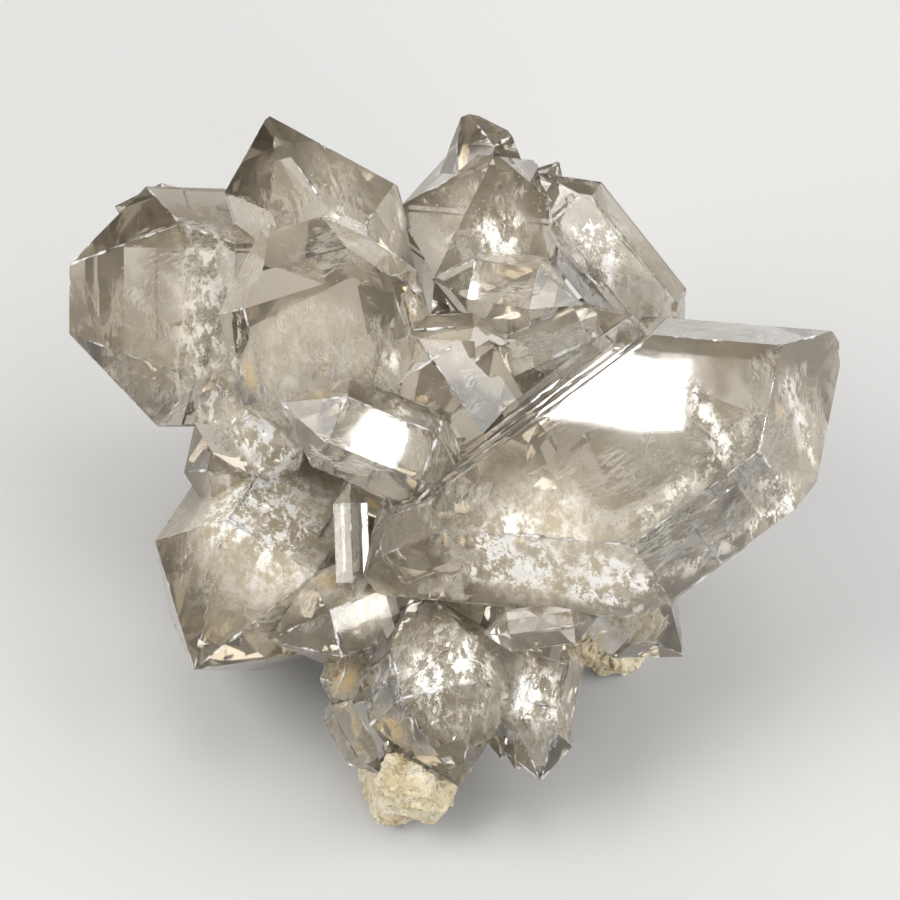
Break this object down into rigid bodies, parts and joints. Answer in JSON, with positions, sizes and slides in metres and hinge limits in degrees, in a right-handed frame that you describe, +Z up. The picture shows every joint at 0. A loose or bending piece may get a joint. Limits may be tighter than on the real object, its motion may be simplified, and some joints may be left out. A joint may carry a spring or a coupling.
{
  "type": "quartz crystal cluster",
  "caption": "Cluster of intergrown six-sided clear to smoky quartz crystals with milky veils, on a remnant of pale host rock; it rests on a table as a display specimen.",
  "frame": {"origin": "on the table under the middle of the display face, at a point of the rock's flat underside", "axes": "+X to the right as the display face is seen, +Y away from the viewer, +Z up; the display face is seen square from the front and 50 degrees above the table"},
  "size_m": [0.1279, 0.1059, 0.0866],
  "materials": {
    "quartz": "clear to smoky, glossy faces with milky veils",
    "rock": "rough, pale cream with iron stain"
  },
  "bodies": {
    "root": {"quartz_crystals": "quartz", "matrix_rock": "rock"}
  },
  "joints": []
}
